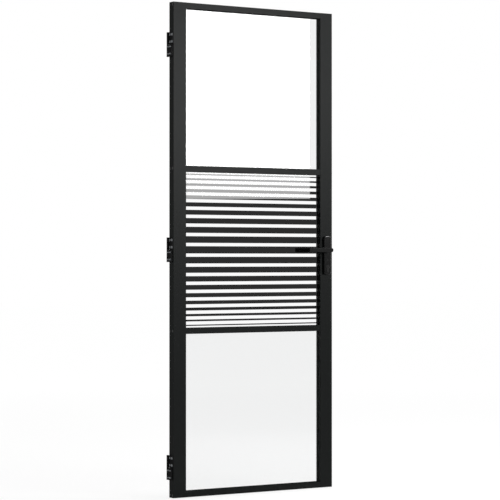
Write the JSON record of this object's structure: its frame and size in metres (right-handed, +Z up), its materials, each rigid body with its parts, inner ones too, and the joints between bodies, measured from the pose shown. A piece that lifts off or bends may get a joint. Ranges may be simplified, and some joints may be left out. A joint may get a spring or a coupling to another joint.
{
  "type": "glass door",
  "caption": "Slim black-framed interior glass door leaf with crossbars, a striped middle pane, lift-off hinges and a lever lock.",
  "frame": {"origin": "middle of the leaf's width and thickness, at its bottom edge", "axes": "+X to the lock stile, +Y to the side the leaf opens to, +Z up"},
  "size_m": [0.8075, 0.119, 2.015],
  "materials": {
    "frame_black": "satin black powder coat on aluminium",
    "glass": "clear float glass",
    "enamel_black": "black enamel on the glass",
    "gasket_black": "black glazing rubber",
    "plastic_black": "matt black",
    "hinge_black": "satin black",
    "handle_black": "satin black",
    "zinc": "zinc plated",
    "steel": "plain satin steel",
    "black_steel": "black oxide",
    "black_brass": "black plated brass",
    "nickel": "satin nickel"
  },
  "bodies": {
    "jamb_side": {"jamb_leaf_top": "hinge_black", "jamb_leaf_middle": "hinge_black", "jamb_leaf_bottom": "hinge_black", "hinge_pins": "steel", "thrust_washers": "plastic_black", "jamb_screws": "zinc"},
    "leaf": {"hinge_stile": "frame_black", "lock_stile": "frame_black", "top_rail": "frame_black", "bottom_rail": "frame_black", "upper_muntin": "frame_black", "lower_muntin": "frame_black", "upper_pane": "glass", "middle_pane": "glass", "lower_pane": "glass", "stripe_print": "enamel_black", "upper_gasket": "gasket_black", "middle_gasket": "gasket_black", "lower_gasket": "gasket_black", "stile_end_caps": "plastic_black", "access_plugs": "plastic_black", "lever_bushes": "plastic_black", "door_leaf_top": "hinge_black", "door_leaf_middle": "hinge_black", "door_leaf_bottom": "hinge_black", "front_backplate": "handle_black", "rear_backplate": "handle_black", "rail_screws": "zinc", "hinge_leaf_screws": "zinc", "lock_case": "zinc", "lock_cover": "zinc", "hinge_backing_plates": "steel", "forend": "steel", "forend_screws": "steel", "cylinder_screw": "steel", "plate_screws": "black_steel", "sleeve_nuts": "black_steel", "cylinder_body": "black_brass"},
    "handle": {"front_lever": "handle_black", "rear_lever": "handle_black", "spindle": "steel", "follower": "zinc", "grub_screws": "black_steel"},
    "latch": {"latch_bolt": "nickel"},
    "bolt": {"dead_bolt": "nickel"},
    "plug": {"key_plug": "black_brass"}
  },
  "joints": [
    {"name": "door_swing", "type": "hinge", "parent": "jamb_side", "child": "leaf", "pos_m": [-0.39325, 0.0225, 0], "axis": [0, 0, 1], "range_deg": [0, 180]},
    {"name": "lever_turn", "type": "hinge", "parent": "leaf", "child": "handle", "pos_m": [0.36, 0, 1.0075], "axis": [0, -1, 0], "range_deg": [0, 40], "stiffness_Nm_per_rad": 0.8, "springref_deg": -34.38},
    {"name": "latch_slide", "type": "slide", "parent": "leaf", "child": "latch", "axis": [-1, 0, 0], "range_m": [0, 0.0115]},
    {"name": "key_turn", "type": "hinge", "parent": "leaf", "child": "plug", "pos_m": [0.36, 0, 0.9355], "axis": [0, -1, 0], "range_deg": [0, 360]},
    {"name": "dead_bolt_slide", "type": "slide", "parent": "leaf", "child": "bolt", "axis": [1, 0, 0], "range_m": [0, 0.014]}
  ],
  "couplings": [
    {"joint": "latch_slide", "follows": "lever_turn", "m_per_rad": 0.01647},
    {"joint": "dead_bolt_slide", "follows": "key_turn", "m_per_rad": 0.002228}
  ]
}
